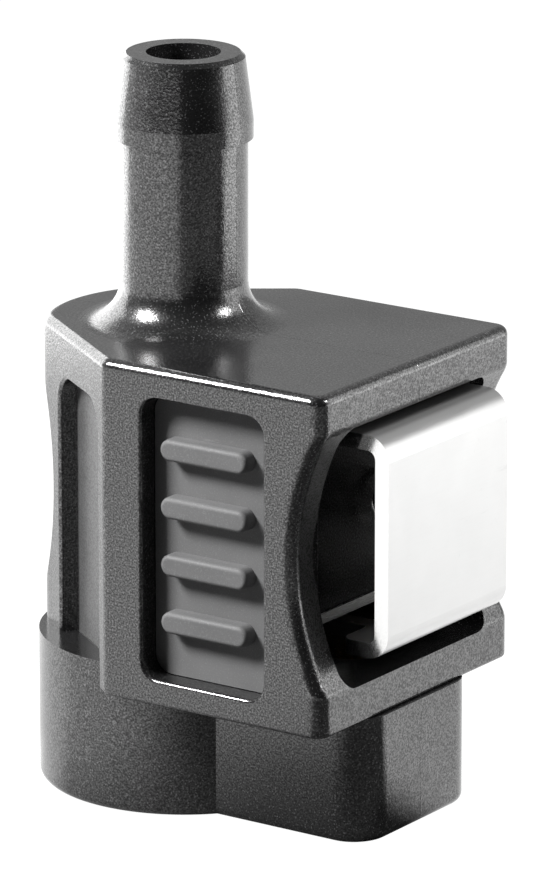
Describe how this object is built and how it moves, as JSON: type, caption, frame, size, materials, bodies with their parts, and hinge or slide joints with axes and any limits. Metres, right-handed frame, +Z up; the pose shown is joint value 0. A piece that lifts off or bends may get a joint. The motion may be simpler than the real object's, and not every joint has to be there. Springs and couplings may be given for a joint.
{
  "type": "push-on fuel hose connector",
  "caption": "Moulded push-on fuel hose connector with a hose barb on top, a two-lobed socket below, side grip pads and a sprung steel latch clip.",
  "frame": {"origin": "on the fuel way's axis, at the socket block's bottom face, in the mouth of the fuel bore", "axes": "+Z up along the fuel way towards the hose barb, +X towards the face with the latch clip, +Y across the grip faces"},
  "size_m": [0.0355, 0.026, 0.0572],
  "materials": {
    "body_plastic": "black glass-filled nylon, finely grained, satin",
    "clip_steel": "satin stainless strip",
    "spring_steel": "drawn stainless wire",
    "acetal": "smooth black acetal",
    "seal_rubber": "smooth fluoroelastomer",
    "bush_brass": "turned brass"
  },
  "bodies": {
    "base": {"housing": "body_plastic", "socket_block": "body_plastic", "grip_pad_front": "body_plastic", "grip_pad_rear": "body_plastic", "guide_plate": "clip_steel", "latch_spring": "spring_steel", "poppet_spring": "spring_steel", "valve_guide": "acetal", "neck_seal": "seal_rubber", "probe_seal": "seal_rubber", "seal_spacer": "acetal", "seal_retainer": "acetal", "pin_bush": "bush_brass"},
    "latch": {"latch_clip": "clip_steel"},
    "poppet": {"valve_poppet": "acetal", "poppet_seal": "seal_rubber"}
  },
  "joints": [
    {"name": "latch_press", "type": "slide", "parent": "base", "child": "latch", "axis": [-1, 0, 0], "range_m": [0, 0.0024], "stiffness_N_per_m": 1500, "springref_m": -0.004, "deforming": ["latch_spring"]},
    {"name": "poppet_lift", "type": "slide", "parent": "base", "child": "poppet", "axis": [0, 0, 1], "range_m": [0, 0.0025], "stiffness_N_per_m": 400, "springref_m": -0.006, "deforming": ["poppet_spring"]}
  ]
}
